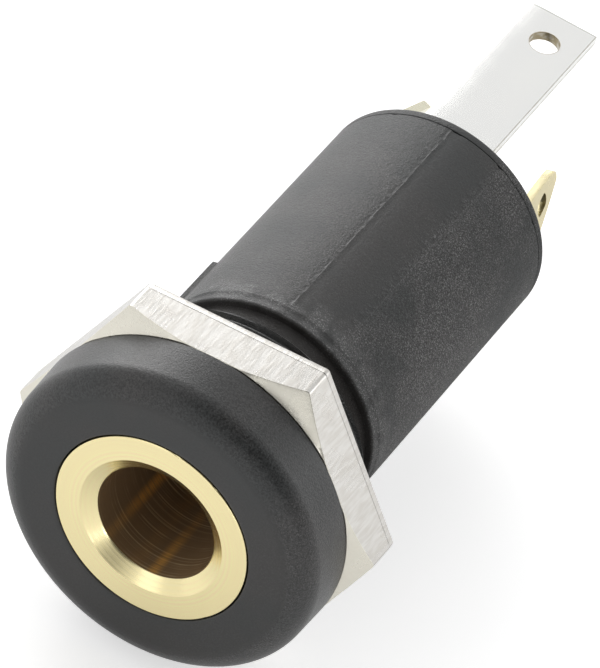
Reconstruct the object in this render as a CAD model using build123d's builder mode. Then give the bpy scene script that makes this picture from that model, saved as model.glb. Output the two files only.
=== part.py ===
from build123d import *
from math import cos, radians, sin, sqrt, tan
import os

# Panel mount jack socket for a 3.5 mm plug with three poles, in millimetres.
# The jack's axis is +Y, from the plug's mouth to the solder tags, and the flat earth tag is at +Z.
# The origin is on that axis, in the plane of the bezel's back face, which seats on the panel.

# Plug and bush, outwards from the bore
plug_bore = 3.64
mouth_width = 0.41
mouth_depth = 0.28
bore_exit_chamfer = 0.1
bush_shank_wall = 0.63
bush_head_shoulder = 0.55
bush_head_depth = 1.5
bush_gap = 0.02
rivet_wall = 0.38
rivet_lip = 0.18
rivet_height = 0.16

# Chamber for the springs, and the walls outwards from it
chamber_room = 0.93
groove_wall = 0.56
groove_width = 0.8
shoulder_height = 0.27
lip_step = 0.05
lip_width = 0.38
lip_chamfer = 0.14
barrel_draft = 0.36

# Neck with its M8 x 0.5 thread, 7.94 mm over the crests
thread_height = 0.66
thread_length = 3.2
thread_pitch = 0.5
thread_depth = 0.27
thread_flank_angle = 30.0
thread_run_in = 0.35
thread_end_chamfer = 0.3
neck_root = 0.4
chamber_floor_inset = 0.25

# Hexagon nut, 9.79 mm across its flats
nut_wall = 0.925
nut_thickness = 1.56
nut_chamfer_offset = 0.065
nut_chamfer_angle = 30.0
nut_turn = 3.9
nut_seat_gap = 0.02
thread_gap = 0.04
nut_bore_chamfer = 0.22

# Bezel, just wider than the nut's flats
bezel_overhang = 0.055
bezel_thickness = 2.07
bezel_corner_width = 0.92
bezel_corner_depth = 0.77
bezel_side_draft = 1.5

# Low key on the barrel
key_height = 0.12
key_root = 0.24
key_width = 1.2
key_angle = 79.0
key_length = 2.46

# Earth tag
lug_width = 2.09
lug_thickness = 0.3
lug_key_depth = 0.1
lug_length = 6.58
lug_hole_diameter = 0.9
lug_hole_inset = 1.25
lug_ring_gap = 0.05
lug_bend_radius = 0.32

# Contact springs, with where they touch the plug
spring_thickness = 0.28
spring_width = 1.5
spring_angle = 69.0
spring_key_depth = 0.3
finger_width = 0.9
slot_gap = 0.02
fold_gap = 0.48
fold_corner_radius = 0.34
fold_room = 0.65
bow_radius = 0.5
tip_contact_depth = 12.3
tip_contact_bite = 0.68
ring_contact_depth = 8.4
ring_contact_bite = 0.24
ring_bow_length = 4.5
flare_length = 1.1
flare_rise = 0.5

# Solder tags at the springs' ends
tag_length = 3.0
tag_lean = 13.2
tag_tip_radius = 0.17
tag_side_bulge = 0.05
eyelet_length = 0.86
eyelet_width = 0.4
eyelet_inset = 1.57

# Rear cap
tip_room = 1.19
cap_rim = 0.32
cap_plug_depth = 1.2
cap_edge_radius = 0.13
cap_gap = 0.02
window_gap = 0.04

# Derived places along the axis
face_y = -bezel_thickness
bush_seat_y = face_y + bush_head_depth
chamber_floor = thread_length - chamber_floor_inset
groove_end = thread_length + groove_width
lip_end = groove_end + lip_width
key_end = lip_end + key_length
tip_fold_y = lip_end + fold_room
tip_crest_y = face_y + tip_contact_depth
ring_crest_y = face_y + ring_contact_depth
ring_bend_y = ring_crest_y + ring_bow_length
cap_plug_y = tip_crest_y + flare_length + tip_room
tube_end = cap_plug_y + cap_plug_depth
barrel_end = tube_end + cap_rim
lug_ring_end = chamber_floor + lug_thickness
rivet_end = lug_ring_end + bush_gap + rivet_height
lug_reach = barrel_end + lug_length

# Derived radii
bore_radius = plug_bore / 2
mouth_radius = bore_radius + mouth_width
rivet_radius = bore_radius + rivet_wall
shank_radius = bore_radius + bush_shank_wall
head_radius = shank_radius + bush_head_shoulder
chamber_radius = bore_radius + chamber_room
groove_radius = chamber_radius + groove_wall
barrel_front_radius = groove_radius + shoulder_height
lip_radius = barrel_front_radius - lip_step
thread_radius = groove_radius + thread_height
thread_half_root = thread_pitch / 8
nut_flat_radius = thread_radius + nut_wall
bezel_radius = nut_flat_radius + bezel_overhang
bezel_flat_radius = bezel_radius - bezel_corner_width
bezel_side_length = bezel_thickness - bezel_corner_depth
bezel_front_radius = bezel_radius - bezel_side_length * tan(radians(bezel_side_draft))
lug_outer_height = chamber_radius + lug_key_depth
lug_middle = lug_outer_height - lug_thickness / 2
spring_outer_distance = chamber_radius + spring_key_depth
spring_middle = spring_outer_distance - spring_thickness / 2
tip_crest_middle = bore_radius - tip_contact_bite + spring_thickness / 2
ring_crest_middle = bore_radius - ring_contact_bite + spring_thickness / 2


def barrel_radius(y):
    """Outer radius of the drafted barrel at a place along the axis."""
    return barrel_front_radius - (y - lip_end) * tan(radians(barrel_draft))


def cross_plane(y):
    """Plane across the axis at y, with X to the right and Z up."""
    return Plane.XZ.offset(-y)


def side_plane(side):
    """Plane through the axis and a spring: local x is outwards, local y is +Y."""
    angle = radians(spring_angle)
    outward = Vector(side * sin(angle), 0, cos(angle))
    return Plane(origin=(0, 0, 0), x_dir=outward, z_dir=outward.cross(Vector(0, 1, 0)))


def flat_plane(side):
    """Plane square to a spring's side plane: local x is across the strip, local y is +Y."""
    angle = radians(spring_angle)
    outward = Vector(side * sin(angle), 0, cos(angle))
    return Plane(origin=(0, 0, 0), x_dir=Vector(0, 1, 0).cross(outward), z_dir=outward)


# The thread's groove, a little proud of its crests, run on past the neck's end
with BuildPart() as thread_groove:
    groove_run = thread_length + thread_pitch
    with BuildLine() as thread_helix:
        Helix(thread_pitch, groove_run, thread_radius, center=(0, thread_run_in, 0), direction=(0, 1, 0))
    helix_start = thread_helix.line @ 0
    groove_rise = thread_depth / 10
    groove_half_top = thread_half_root + (thread_depth + groove_rise) * tan(radians(thread_flank_angle))
    with BuildSketch(Plane(origin=helix_start, x_dir=(0, 0, 1), z_dir=thread_helix.line % 0)):
        Polygon(
            (-thread_depth, -thread_half_root),
            (-thread_depth, thread_half_root),
            (groove_rise, groove_half_top),
            (groove_rise, -groove_half_top),
            align=None,
        )
    sweep(is_frenet=True)

# Threaded neck: cut in a longer blank, then trimmed to its length and end chamfer
with BuildPart() as neck:
    blank_end = thread_run_in + groove_run + thread_pitch
    neck_bore = (chamber_radius + groove_radius) / 2
    with BuildSketch():
        with BuildLine():
            Polyline(
                (neck_bore, -neck_root),
                (thread_radius, -neck_root),
                (thread_radius, blank_end),
                (neck_bore, blank_end),
                close=True,
            )
        make_face()
    revolve(axis=Axis.Y)
    add(thread_groove.part, mode=Mode.SUBTRACT)
    with BuildSketch():
        with BuildLine():
            Polyline(
                (neck_bore, -neck_root),
                (thread_radius + thread_depth, -neck_root),
                (thread_radius + thread_depth, thread_length - thread_end_chamfer - thread_depth),
                (thread_radius - thread_end_chamfer, thread_length),
                (neck_bore, thread_length),
                close=True,
            )
        make_face()
    revolve(axis=Axis.Y, mode=Mode.INTERSECT)

# Housing: bezel, threaded neck, groove and barrel moulded in one piece
with BuildPart() as housing:
    with BuildSketch():
        head_seat_radius = head_radius + bush_gap
        shank_seat_radius = shank_radius + bush_gap
        with BuildLine():
            Line((head_seat_radius, face_y), (bezel_flat_radius, face_y))
            EllipticalCenterArc(
                (bezel_flat_radius, face_y + bezel_corner_depth),
                bezel_front_radius - bezel_flat_radius,
                bezel_corner_depth,
                start_angle=-90,
                arc_size=90,
            )
            Polyline(
                (bezel_front_radius, face_y + bezel_corner_depth),
                (bezel_radius, 0),
                (groove_radius, 0),
                (groove_radius, groove_end),
                (lip_radius - lip_chamfer, groove_end),
                (lip_radius, groove_end + lip_chamfer),
                (lip_radius, lip_end),
                (barrel_front_radius, lip_end),
                (barrel_radius(tube_end), tube_end),
                (chamber_radius, tube_end),
                (chamber_radius, chamber_floor),
                (shank_seat_radius, chamber_floor),
                (shank_seat_radius, bush_seat_y),
                (head_seat_radius, bush_seat_y),
                (head_seat_radius, face_y),
            )
        make_face()
    revolve(axis=Axis.Y)
    add(neck.part)

    # Keyway along the chamber's wall for the earth tag
    keyway_top = lug_outer_height + slot_gap
    keyway_width = lug_width + 2 * slot_gap
    keyway_floor = sqrt(chamber_radius**2 - (keyway_width / 2) ** 2) - slot_gap
    with BuildSketch(cross_plane(chamber_floor)):
        with Locations((0, (keyway_top + keyway_floor) / 2)):
            Rectangle(keyway_width, keyway_top - keyway_floor)
    extrude(amount=-(tube_end - chamber_floor), mode=Mode.SUBTRACT)

    # Keyways for the two contact springs, behind the groove
    spring_slot_width = spring_width + 2 * slot_gap
    spring_slot_top = spring_outer_distance + slot_gap
    spring_slot_floor = sqrt(chamber_radius**2 - (spring_slot_width / 2) ** 2) - slot_gap
    with BuildSketch(cross_plane(lip_end)):
        for side in (1, -1):
            middle = (spring_slot_top + spring_slot_floor) / 2
            with PolarLocations(middle, 1, start_angle=90 - side * spring_angle):
                Rectangle(spring_slot_top - spring_slot_floor, spring_slot_width)
    extrude(amount=-(tube_end - lip_end), mode=Mode.SUBTRACT)

    # Low key on the barrel, which keeps the socket from turning in a keyed hole
    key_radius = barrel_front_radius + key_height
    with BuildSketch(cross_plane(groove_end + lip_chamfer)):
        with PolarLocations(barrel_front_radius, 1, start_angle=90 + key_angle):
            Rectangle(2 * key_root, key_width)
        Circle(key_radius, mode=Mode.INTERSECT)
    extrude(amount=-(key_end - groove_end - lip_chamfer))
housing.part.label = "housing"

# Contact bush: turned, plated, and riveted over the earth tag's ring
with BuildPart() as contact_bush:
    with BuildSketch():
        with BuildLine():
            Polyline(
                (mouth_radius, face_y),
                (head_radius, face_y),
                (head_radius, bush_seat_y),
                (shank_radius, bush_seat_y),
                (shank_radius, chamber_floor),
                (rivet_radius, chamber_floor),
                (rivet_radius, lug_ring_end + bush_gap),
                (rivet_radius + rivet_lip, lug_ring_end + bush_gap),
                (rivet_radius, rivet_end),
                (bore_radius + bore_exit_chamfer, rivet_end),
                (bore_radius, rivet_end - bore_exit_chamfer),
                (bore_radius, face_y + mouth_depth),
                (mouth_radius, face_y),
            )
        make_face()
    revolve(axis=Axis.Y)
contact_bush.part.label = "contact_bush"

# Earth tag: a ring round the bush, bent square into a flat tag that runs out of the rear
with BuildPart() as sleeve_lug:
    ring_middle = chamber_floor + lug_thickness / 2
    with BuildSketch(Plane.YZ):
        with BuildLine() as lug_bend:
            FilletPolyline(
                (ring_middle, rivet_radius),
                (ring_middle, lug_middle),
                (lug_reach, lug_middle),
                radius=lug_bend_radius,
            )
        trace(line_width=lug_thickness)
    extrude(amount=lug_width / 2, both=True)
    with BuildSketch(cross_plane(chamber_floor)):
        Circle(chamber_radius - lug_ring_gap)
    extrude(amount=-lug_thickness)
    with BuildSketch(cross_plane(ring_middle)):
        Circle(rivet_radius + bush_gap)
    extrude(amount=lug_thickness, both=True, mode=Mode.SUBTRACT)
    with BuildSketch(Plane.XY.offset(lug_middle)):
        with Locations((0, lug_reach - lug_hole_inset)):
            Circle(lug_hole_diameter / 2)
    extrude(amount=lug_thickness, both=True, mode=Mode.SUBTRACT)
sleeve_lug.part.label = "sleeve_lug"

# Solder tag beyond the cap, shared by both springs
tag_rise = tag_length * cos(radians(tag_lean))
tag_inset = tag_length * sin(radians(tag_lean))
tag_end = barrel_end + tag_rise
eyelet_y = barrel_end + (tag_length - eyelet_inset) * cos(radians(tag_lean))
half_spring = spring_width / 2
half_finger = finger_width / 2


def tag_sides(front_y, shoulder_y):
    """Close half of a strip's outline, from its front end to the tag's rounded tip."""
    taper_end = tag_end - tag_tip_radius
    middle_y = (barrel_end + taper_end) / 2
    middle_x = (half_spring + tag_tip_radius) / 2 + tag_side_bulge
    Polyline((0, front_y), (half_finger, front_y), (half_spring, shoulder_y), (half_spring, barrel_end))
    ThreePointArc((half_spring, barrel_end), (middle_x, middle_y), (tag_tip_radius, taper_end))
    CenterArc((0, taper_end), tag_tip_radius, start_angle=0, arc_size=90)
    Line((0, tag_end), (0, front_y))


# Tip spring: the strip lies in its keyway, folds back and bows in to the plug's tip
with BuildPart() as tip_spring:
    fold_top = tip_fold_y + fold_corner_radius
    fold_width = fold_gap + spring_thickness
    with BuildSketch(side_plane(1)):
        with BuildLine():
            FilletPolyline(
                (spring_middle, fold_top),
                (spring_middle, barrel_end),
                (spring_middle - tag_inset, tag_end),
                radius=bow_radius,
            )
        trace(line_width=spring_thickness)
    extrude(amount=half_spring, both=True)
    with BuildSketch(flat_plane(1)):
        with BuildLine():
            tag_sides(fold_top, fold_top + spring_width)
        make_face()
        mirror(about=Plane.YZ)
    extrude(amount=spring_outer_distance + spring_thickness, mode=Mode.INTERSECT)
    with BuildSketch(flat_plane(1)):
        with Locations((0, eyelet_y)):
            SlotOverall(eyelet_length, eyelet_width, rotation=90)
    extrude(amount=spring_outer_distance + spring_thickness, mode=Mode.SUBTRACT)
    with BuildSketch(side_plane(1)):
        with BuildLine():
            FilletPolyline(
                (spring_middle, fold_top + bow_radius),
                (spring_middle, tip_fold_y),
                (spring_middle - fold_width, tip_fold_y),
                (tip_crest_middle, tip_crest_y),
                (tip_crest_middle + flare_rise, tip_crest_y + flare_length),
                radius=(fold_corner_radius, fold_corner_radius, bow_radius),
            )
        trace(line_width=spring_thickness)
    extrude(amount=half_finger, both=True)
tip_spring.part.label = "tip_spring"

# Ring spring: the strip leaves its keyway and bows in to the plug's ring
with BuildPart() as ring_spring:
    flare_end = ring_crest_y - flare_length
    with BuildSketch(side_plane(-1)):
        with BuildLine():
            FilletPolyline(
                (ring_crest_middle + flare_rise, flare_end),
                (ring_crest_middle, ring_crest_y),
                (spring_middle, ring_bend_y),
                (spring_middle, barrel_end),
                (spring_middle - tag_inset, tag_end),
                radius=bow_radius,
            )
        trace(line_width=spring_thickness)
    extrude(amount=half_spring, both=True)
    with BuildSketch(flat_plane(-1)):
        with BuildLine():
            tag_sides(flare_end - spring_thickness, ring_bend_y)
        make_face()
        mirror(about=Plane.YZ)
    extrude(amount=spring_outer_distance + spring_thickness, mode=Mode.INTERSECT)
    with BuildSketch(flat_plane(-1)):
        with Locations((0, eyelet_y)):
            SlotOverall(eyelet_length, eyelet_width, rotation=90)
    extrude(amount=spring_outer_distance + spring_thickness, mode=Mode.SUBTRACT)
ring_spring.part.label = "ring_spring"

# Rear cap: a rim as wide as the barrel, a plug in the chamber and a window for each tag
with BuildPart() as rear_cap:
    with BuildSketch(cross_plane(tube_end)):
        Circle(barrel_radius(tube_end))
    extrude(amount=-cap_rim)
    fillet(rear_cap.edges().group_by(Axis.Y)[-1], radius=cap_edge_radius)
    with BuildSketch(cross_plane(tube_end)):
        Circle(chamber_radius - cap_gap)
    extrude(amount=cap_plug_depth)
    window_length = cap_rim + cap_plug_depth
    with BuildSketch(cross_plane(cap_plug_y)):
        with Locations((0, lug_middle)):
            Rectangle(lug_width + 2 * slot_gap, lug_thickness + 2 * slot_gap)
        for side in (1, -1):
            with PolarLocations(spring_middle, 1, start_angle=90 - side * spring_angle):
                Rectangle(spring_thickness + 2 * window_gap, spring_width + 2 * slot_gap)
    extrude(amount=-window_length, mode=Mode.SUBTRACT)
rear_cap.part.label = "rear_cap"

# Hexagon nut: chamfered on the bezel's side, with lead-ins at both ends of its thread
with BuildPart() as hex_nut:
    nut_front = nut_seat_gap
    nut_rear = nut_front + nut_thickness
    nut_bore_radius = thread_radius + thread_gap
    corner_radius = nut_flat_radius / cos(radians(30))
    chamfer_radius = nut_flat_radius + nut_chamfer_offset
    cone_rise = (corner_radius - chamfer_radius) * tan(radians(nut_chamfer_angle))
    with BuildSketch(cross_plane(nut_front)):
        RegularPolygon(nut_flat_radius, 6, major_radius=False, rotation=nut_turn)
    extrude(amount=-nut_thickness)
    with BuildSketch():
        with BuildLine():
            Polyline(
                (nut_bore_radius + nut_bore_chamfer, nut_front),
                (chamfer_radius, nut_front),
                (corner_radius, nut_front + cone_rise),
                (corner_radius, nut_rear),
                (nut_bore_radius + nut_bore_chamfer, nut_rear),
                (nut_bore_radius, nut_rear - nut_bore_chamfer),
                (nut_bore_radius, nut_front + nut_bore_chamfer),
                (nut_bore_radius + nut_bore_chamfer, nut_front),
            )
        make_face()
    revolve(axis=Axis.Y, mode=Mode.INTERSECT)
hex_nut.part.label = "hex_nut"

os.makedirs("parts", exist_ok=True)
export_step(housing.part, "parts/housing.step")
export_step(contact_bush.part, "parts/contact_bush.step")
export_step(sleeve_lug.part, "parts/sleeve_lug.step")
export_step(tip_spring.part, "parts/tip_spring.step")
export_step(ring_spring.part, "parts/ring_spring.step")
export_step(rear_cap.part, "parts/rear_cap.step")
export_step(hex_nut.part, "parts/hex_nut.step")
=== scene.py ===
import logging
import math
from collections.abc import Callable, Mapping, Sequence
from dataclasses import dataclass
from enum import Enum
from typing import Any

import bmesh
import bpy
from mathutils import Matrix, Vector


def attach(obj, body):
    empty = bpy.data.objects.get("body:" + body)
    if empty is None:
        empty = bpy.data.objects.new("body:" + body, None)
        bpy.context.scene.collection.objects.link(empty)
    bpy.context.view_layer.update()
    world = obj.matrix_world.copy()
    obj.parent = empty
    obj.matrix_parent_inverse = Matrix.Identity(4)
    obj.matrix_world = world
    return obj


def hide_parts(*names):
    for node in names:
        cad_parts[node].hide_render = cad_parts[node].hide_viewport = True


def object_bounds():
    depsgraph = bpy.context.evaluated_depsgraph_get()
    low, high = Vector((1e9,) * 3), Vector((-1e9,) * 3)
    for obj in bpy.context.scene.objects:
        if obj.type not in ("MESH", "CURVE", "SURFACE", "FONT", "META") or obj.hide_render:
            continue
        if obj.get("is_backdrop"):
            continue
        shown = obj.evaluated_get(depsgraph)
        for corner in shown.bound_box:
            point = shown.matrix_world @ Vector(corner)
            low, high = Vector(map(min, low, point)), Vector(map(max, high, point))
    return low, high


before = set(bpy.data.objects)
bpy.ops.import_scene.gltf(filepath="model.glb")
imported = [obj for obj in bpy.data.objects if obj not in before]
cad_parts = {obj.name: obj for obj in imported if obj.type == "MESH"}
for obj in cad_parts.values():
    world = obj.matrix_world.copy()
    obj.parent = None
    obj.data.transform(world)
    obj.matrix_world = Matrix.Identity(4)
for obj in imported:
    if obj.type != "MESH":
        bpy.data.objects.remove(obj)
CAD_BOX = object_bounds()

# Panel mount jack socket. Lengths in the classes are millimetres in the row's frame: +Y runs
# along the jack's axis from the plug's mouth to the solder tags, and +Z is the earth tag's side.
# Angles about the axis are in degrees from +Z towards +X. The first sizes below are those that
# several pieces share. An earth tag's or a spring's middle is its distance from the axis.

MM = 0.001
Point = tuple[float, float]
Triple = tuple[float, float, float]
Colour = Triple
Socket = bpy.types.NodeSocket
ACROSS = (1.0, 0.0, 1.0)
WHITE = (1.0, 1.0, 1.0, 1.0)
FACE_Y = -2.07
TUBE_END = 13.72
BARREL_END = 14.04
REAR_RADIUS = 3.521
NUT_FRONT = 0.02
NUT_CHAMFER = math.tan(math.radians(30.0))
NUT_CHAMFER_START = 4.96
TAG_WIDTH = 2.09
TAG_THICKNESS = 0.3
TAG_MIDDLE = 2.70
TAG_END = 20.62
TAG_HOLE_INSET = 1.25
TAG_HOLE_RADIUS = 0.45
SPRING_ANGLE = 69.0
SPRING_WIDTH = 1.5
SPRING_MIDDLE = 2.91
SPRING_TAG = ((SPRING_MIDDLE, BARREL_END), (2.2249, 16.9607))
WINDOW_GAP = 0.02
log = logging.getLogger("jack_socket")


class Body(Enum):
    """The bodies that the pieces ride on."""

    SOCKET = "socket"
    NUT = "nut"


class Slot(Enum):
    """The record's material slots."""

    PLASTIC = "black_plastic"
    BUSH = "gold_plate"
    SPRING = "gold_spring"
    SILVER = "silver_plate"
    NICKEL = "nickel_plate"


class Cut(Enum):
    """The ways in which one solid is combined with another."""

    KEEP_COMMON = "INTERSECT"
    TAKE_AWAY = "DIFFERENCE"
    JOIN = "UNION"


# ---- Finishes


class Graph:
    """The nodes of one material or world, wired as they are added."""

    def __init__(self, tree: bpy.types.NodeTree) -> None:
        """Starts from an empty tree."""
        self.tree = tree
        tree.nodes.clear()

    def node(self, kind: str, inputs: Mapping[int | str, Any], **settings: Any) -> bpy.types.Node:
        """Adds a shader node.

        Args:
            kind: The node's type without its ShaderNode prefix.
            inputs: What each input takes, by name or number: a socket is linked, a value is set.
            settings: The node's own properties.

        Returns:
            The node.
        """
        node = self.tree.nodes.new("ShaderNode" + kind)
        for key, value in settings.items():
            setattr(node, key, value)
        for key, value in inputs.items():
            if isinstance(value, Socket):
                self.tree.links.new(value, node.inputs[key])
            else:
                node.inputs[key].default_value = value
        return node

    def math(self, operation: str, a: Any, b: Any = 0.0) -> Socket:
        """Returns the result of one sum on two values or sockets."""
        return self.node("Math", {0: a, 1: b}, operation=operation).outputs[0]

    def plus(self, a: Any, b: Any) -> Socket:
        """Returns a plus b."""
        return self.math("ADD", a, b)

    def minus(self, a: Any, b: Any) -> Socket:
        """Returns a minus b."""
        return self.math("SUBTRACT", a, b)

    def times(self, a: Any, b: Any) -> Socket:
        """Returns a times b."""
        return self.math("MULTIPLY", a, b)

    def larger(self, a: Any, b: Any) -> Socket:
        """Returns the larger of a and b."""
        return self.math("MAXIMUM", a, b)

    def vector(self, operation: str, a: Any, b: Any = (0.0, 0.0, 0.0)) -> bpy.types.Node:
        """Returns a node that does one sum on two vectors."""
        return self.node("VectorMath", {0: a, 1: b}, operation=operation)

    def axes(self, place: Socket) -> Sequence[Socket]:
        """Returns the sockets of a vector's three parts."""
        return self.node("SeparateXYZ", {0: place}).outputs

    def length(self, place: Socket, share: Triple) -> Socket:
        """Returns a vector's length once its parts are multiplied by their shares."""
        kept = self.vector("MULTIPLY", place, share).outputs[0]
        return self.vector("LENGTH", kept).outputs["Value"]

    def noise(
        self, vector: Socket, scale: float, detail: float = 2.0, roughness: float = 0.5
    ) -> Socket:
        """Returns a noise between 0 and 1, with about scale features in each metre."""
        inputs = {"Vector": vector, "Scale": scale, "Detail": detail, "Roughness": roughness}
        return self.node("TexNoise", inputs).outputs[0]

    def line_noise(self, value: Socket, scale: float, detail: float = 2.0) -> Socket:
        """Returns a noise that changes with one value only."""
        inputs = {"W": value, "Scale": scale, "Detail": detail}
        return self.node("TexNoise", inputs, noise_dimensions="1D").outputs[0]

    def step(
        self, value: Socket, start: float, end: float, low: float = 0.0, high: float = 1.0
    ) -> Socket:
        """Returns low where the value is at start, high where it is at end, and eases between."""
        inputs = {0: value, 1: start, 2: end, 3: low, 4: high}
        return self.node("MapRange", inputs, interpolation_type="SMOOTHSTEP").outputs[0]

    def fade(self, value: Socket, span: Point, low: float = 0.0, high: float = 1.0) -> Socket:
        """Returns what step does, over a span in millimetres."""
        return self.step(value, span[0] * MM, span[1] * MM, low, high)

    def mix(self, share: Any, a: Any, b: Any) -> Socket:
        """Returns colour a turned towards colour b by a share."""
        inputs = {0: share, 6: rgba(a), 7: rgba(b)}
        return self.node("Mix", inputs, data_type="RGBA").outputs[2]

    def scaled(self, colour: Socket, share: Any) -> Socket:
        """Returns a colour made darker or lighter by a share."""
        return self.node("VectorMath", {0: colour, "Scale": share}, operation="SCALE").outputs[0]

    def bump(self, height: Socket, depth: float, under: Socket | None = None) -> Socket:
        """Returns the normal of a relief.

        Args:
            height: The relief's height between 0 and 1.
            depth: What a height of 1 measures, in millimetres.
            under: The normal of a coarser relief that this one lies on.

        Returns:
            The normal's socket.
        """
        inputs: dict[int | str, Any] = {"Height": height, "Distance": depth * MM, "Strength": 1.0}
        if under is not None:
            inputs["Normal"] = under
        return self.node("Bump", inputs).outputs[0]


def rgba(colour: Any) -> Any:
    """Returns a colour with its alpha, or a socket as it is."""
    return colour if isinstance(colour, Socket) else (*colour, 1.0)


def beyond(base: float, span: Point) -> Point:
    """Returns a span that is measured from a base."""
    return base + span[0], base + span[1]


def new_material(name: str) -> tuple[bpy.types.Material, Graph, Socket]:
    """Makes an empty node material.

    Args:
        name: The material's name.

    Returns:
        The material, its graph and the socket of its object coordinates.
    """
    material = bpy.data.materials.new(name)
    material.use_nodes = True
    graph = Graph(material.node_tree)
    return material, graph, graph.node("TexCoord", {}).outputs["Object"]


def finish_material(graph: Graph, inputs: Mapping[int | str, Any]) -> None:
    """Ends a material's graph with its shader and output."""
    shader = graph.node("BsdfPrincipled", inputs)
    graph.node("OutputMaterial", {"Surface": shader.outputs[0]})


@dataclass(frozen=True)
class MouldedPlastic:
    """Black moulded plastic with a fine spark-eroded grain and light dust, painted shade in the
    groove behind the neck, and a parting line that is partly a painted highlight.

    A pair of lengths is where something starts to fade and where it has done so.
    """

    name: str
    cool: Colour = (0.0305, 0.0325, 0.0325)
    warm: Colour = (0.0350, 0.0335, 0.0325)
    speck: Colour = (0.265, 0.263, 0.262)
    # Painted shade: the dark colour put into the groove behind the neck.
    groove_shade: Colour = (0.013, 0.010, 0.008)
    grain_scale: float = 16000.0
    speck_scale: float = 24000.0
    dust_scale: float = 34000.0
    mottle_scale: float = 5200.0
    line_break_scale: float = 3400.0
    patch_scale: float = 1500.0
    cloud_scale: float = 420.0
    grain_depth: float = 0.032
    mottle_depth: float = 0.013
    grain_shade: Point = (-0.48, 0.60)
    face: Point = (-2.066, -2.02)
    face_grain: float = 0.22
    bezel_to_barrel: Point = (-0.1, 0.1)
    bezel_relief: float = 0.4
    bezel_dust: float = 0.35
    matt_side: Point = (0.6, 2.4)
    dusty_side: Point = (0.9, 1.9)
    band_middle: float = 0.72
    band_waver: float = 0.12
    band_edge: Point = (0.72, 0.96)
    band_wear: float = 0.62
    lip_y: float = 4.1
    lip_dust: Point = (0.45, 1.4)
    lip_film: float = 0.17
    groove_front: Point = (3.1, 3.6)
    groove_rear: Point = (4.10, 3.98)
    groove_shade_share: float = 0.85
    line_start: Point = (4.4, 4.6)
    line_edge: Point = (0.004, 0.020)
    parting_scuff_and_highlight: float = 0.30
    witness_scuff: float = 0.10
    parting_line: bool = False

    def material(self) -> bpy.types.Material:
        """Builds the material."""
        material, graph, place = new_material(self.name)
        axes = graph.axes(place)
        along = axes[1]
        grain = graph.noise(place, self.grain_scale, 3.0, 0.7)
        mottle = graph.noise(place, self.mottle_scale, 2.0)
        cloud = graph.noise(place, self.cloud_scale, 3.0)
        barrel = graph.fade(along, self.bezel_to_barrel)
        rubbed = self.rubbed(graph, axes[0], mottle, barrel)
        eroded = graph.times(graph.fade(along, self.face, self.face_grain, 1.0), rubbed)
        shade = graph.times(graph.step(grain, 0.36, 0.64, *self.grain_shade), eroded)
        colour = graph.mix(graph.step(cloud, 0.35, 0.65), self.cool, self.warm)
        colour = graph.scaled(colour, graph.plus(shade, 1.0))
        colour = graph.mix(self.dusting(graph, place, axes, cloud, eroded), colour, self.speck)
        # The lighter colour along the parting line is partly scuffed flash and partly a painted
        # highlight of the ridge that catches light.
        if self.parting_line:
            for line, strength in ((PARTING, self.parting_scuff_and_highlight), (WITNESS, self.witness_scuff)):
                colour = graph.mix(self.flash(graph, place, line, strength), colour, self.speck)
        # Painted shade: the groove behind the neck is darkened, and made rougher.
        groove_shade_mask = self.groove(graph, along)
        colour = graph.mix(graph.times(groove_shade_mask, self.groove_shade_share), colour, self.groove_shade)
        relief_share = graph.plus(graph.times(barrel, 1.0 - self.bezel_relief), self.bezel_relief)
        coarse = graph.times(eroded, relief_share)
        relief = graph.bump(graph.times(mottle, coarse), self.mottle_depth)
        relief = graph.bump(graph.times(grain, coarse), self.grain_depth, under=relief)
        dusty = graph.times(graph.fade(axes[0], self.matt_side, 0.05, 0.37), barrel)
        roughness = graph.plus(graph.step(grain, 0.3, 0.7, 0.28, 0.40), dusty)
        roughness = graph.plus(roughness, graph.times(groove_shade_mask, 0.2))
        finish_material(graph, {"Base Color": colour, "Roughness": roughness, "Normal": relief})
        return material

    def rubbed(self, graph: Graph, across: Socket, mottle: Socket, barrel: Socket) -> Socket:
        """Returns how much of the grain is left: less in a band beside the parting line."""
        edge = graph.times(graph.step(mottle, 0.3, 0.7, -1.0, 1.0), self.band_waver * MM)
        away = graph.math("ABSOLUTE", graph.plus(graph.minus(across, self.band_middle * MM), edge))
        lost = graph.times(graph.fade(away, self.band_edge, self.band_wear, 0.0), barrel)
        return graph.minus(1.0, lost)

    def dusting(
        self, graph: Graph, place: Socket, axes: Sequence[Socket], cloud: Socket, eroded: Socket
    ) -> Socket:
        """Returns how much light dust lies at a place: most on the right and by the lip.

        Args:
            graph: The material's graph.
            place: The socket of its object coordinates.
            axes: The sockets of its three coordinates.
            cloud: A slow noise.
            eroded: The share of the grain that is left.

        Returns:
            A share between 0 and 1.
        """
        side = graph.fade(axes[0], self.dusty_side, 0.35, 1.0)
        crowd = graph.times(graph.step(cloud, 0.36, 0.62, 0.25, 1.0), side)
        beside = graph.math("ABSOLUTE", graph.minus(axes[1], self.lip_y * MM))
        patch = graph.step(graph.noise(place, self.patch_scale, 3.0), 0.38, 0.58)
        lip = graph.times(graph.fade(beside, self.lip_dust, 1.0, 0.0), patch)
        crowd = graph.times(crowd, graph.fade(axes[1], self.bezel_to_barrel, self.bezel_dust, 1.0))
        crowd = graph.larger(graph.times(crowd, eroded), lip)
        speck = graph.step(graph.noise(place, self.speck_scale, 0.0), 0.60, 0.73, 0.0, 0.90)
        dust = graph.step(graph.noise(place, self.dust_scale, 1.0), 0.46, 0.68, 0.0, 0.52)
        film = graph.times(lip, self.lip_film)
        return graph.larger(graph.times(graph.larger(speck, dust), crowd), film)

    def groove(self, graph: Graph, along: Socket) -> Socket:
        """Returns how much painted shade darkens a place, which is only in the groove behind the
        neck.
        """
        behind = graph.fade(along, self.groove_front)
        return graph.times(behind, graph.fade(along, self.groove_rear))

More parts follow.
